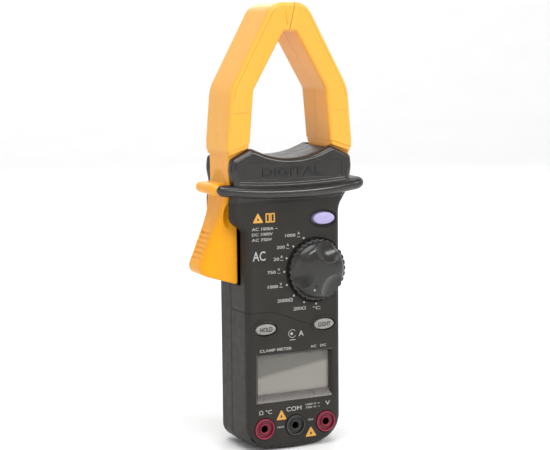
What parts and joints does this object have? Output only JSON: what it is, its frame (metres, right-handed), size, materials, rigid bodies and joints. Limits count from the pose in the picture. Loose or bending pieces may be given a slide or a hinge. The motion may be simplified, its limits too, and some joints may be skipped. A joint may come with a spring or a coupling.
{
  "type": "clamp meter",
  "caption": "Handheld clamp meter: a sprung jaw opened by a side trigger closes round a cable, with a rotary switch, push buttons, display and lead sockets.",
  "frame": {"origin": "on the flat back of the case, on its middle line, 100 mm above the lower end", "axes": "+Z along the meter towards the jaw tips, +Y out of the flat back, +X to the right seen from the front"},
  "size_m": [0.1009, 0.0485, 0.2542],
  "materials": {
    "case_plastic": "fine textured charcoal ABS",
    "jaw_plastic": "satin yellow-orange ABS",
    "core_steel": "laminated, ground end faces",
    "taped_winding": "taped copper winding",
    "zinc_steel": "zinc plated",
    "brass": "turned",
    "knob_plastic": "satin black ABS",
    "nylon": "natural nylon",
    "lavender_key": "satin",
    "grey_key": "satin",
    "chip_plastic": "moulded black",
    "clear_pane": "clear acrylic",
    "lcd_glass": "grey-green liquid crystal cell",
    "light_guide": "white diffuser",
    "black_rubber": "matt",
    "red_socket": "dark red moulding",
    "black_socket": "black moulding",
    "circuit_board": "green solder mask",
    "capacitor_sleeve": "dark blue sleeve",
    "battery_sleeve": "plain printed sleeve"
  },
  "bodies": {
    "case": {"front_case": "case_plastic", "rear_case": "case_plastic", "fixed_jaw_front_shell": "jaw_plastic", "fixed_jaw_rear_shell": "jaw_plastic", "fixed_jaw_core": "core_steel", "fixed_jaw_coil": "taped_winding", "pivot_pin": "zinc_steel", "detent_ring": "nylon", "peak_switch": "chip_plastic", "hold_switch": "chip_plastic", "light_switch": "chip_plastic", "display_window": "clear_pane", "lcd_panel": "lcd_glass", "backlight_panel": "light_guide", "zebra_strip_lower": "black_rubber", "zebra_strip_upper": "black_rubber", "lcd_frame": "nylon", "left_jack_body": "red_socket", "common_jack_body": "black_socket", "right_jack_body": "red_socket", "left_jack_sleeve": "brass", "common_jack_sleeve": "brass", "right_jack_sleeve": "brass", "main_board": "circuit_board", "adc_chip": "chip_plastic", "buzzer": "chip_plastic", "capacitor": "capacitor_sleeve", "board_screw_1": "zinc_steel", "board_screw_2": "zinc_steel", "battery": "battery_sleeve", "battery_snap": "black_rubber", "battery_lead_red": "red_socket", "battery_lead_black": "black_rubber", "coil_lead": "black_rubber", "case_screw_1": "zinc_steel", "case_screw_2": "zinc_steel", "case_screw_3": "zinc_steel", "case_screw_4": "zinc_steel", "jaw_screw": "zinc_steel"},
    "moving_jaw": {"moving_jaw_front_shell": "jaw_plastic", "moving_jaw_rear_shell": "jaw_plastic", "moving_jaw_core": "core_steel", "moving_jaw_coil": "taped_winding", "pivot_bush": "brass", "torsion_spring": "zinc_steel"},
    "knob": {"rotary_knob": "knob_plastic", "switch_rotor": "nylon", "knob_screw": "zinc_steel", "contact_brush_1": "brass", "contact_brush_2": "brass", "contact_brush_3": "brass", "detent_ball_1": "zinc_steel", "detent_ball_2": "zinc_steel", "detent_spring_1": "zinc_steel", "detent_spring_2": "zinc_steel"},
    "peak_key": {"peak_button": "lavender_key"},
    "hold_key": {"hold_button": "grey_key"},
    "light_key": {"light_button": "grey_key"},
    "door": {"battery_door": "case_plastic", "door_screw": "zinc_steel"}
  },
  "joints": [
    {"name": "jaw_hinge", "type": "hinge", "parent": "case", "child": "moving_jaw", "pos_m": [-0.028, -0.0215, 0.047], "axis": [0, -1, 0], "range_deg": [0, 22], "stiffness_Nm_per_rad": 1.2, "springref_deg": -20.05, "deforming": ["torsion_spring"]},
    {"name": "knob_turn", "type": "hinge", "parent": "case", "child": "knob", "pos_m": [0.0137, -0.0405, 0.002], "axis": [0, -1, 0], "range_deg": [-135, 22.5]},
    {"name": "peak_press", "type": "slide", "parent": "case", "child": "peak_key", "axis": [0, 1, 0], "range_m": [0, 0.001], "stiffness_N_per_m": 800},
    {"name": "hold_press", "type": "slide", "parent": "case", "child": "hold_key", "axis": [0, 1, 0], "range_m": [0, 0.001], "stiffness_N_per_m": 800},
    {"name": "light_press", "type": "slide", "parent": "case", "child": "light_key", "axis": [0, 1, 0], "range_m": [0, 0.001], "stiffness_N_per_m": 800},
    {"name": "door_lift", "type": "slide", "parent": "case", "child": "door", "axis": [0, 1, 0], "range_m": [0, 0.025]}
  ]
}
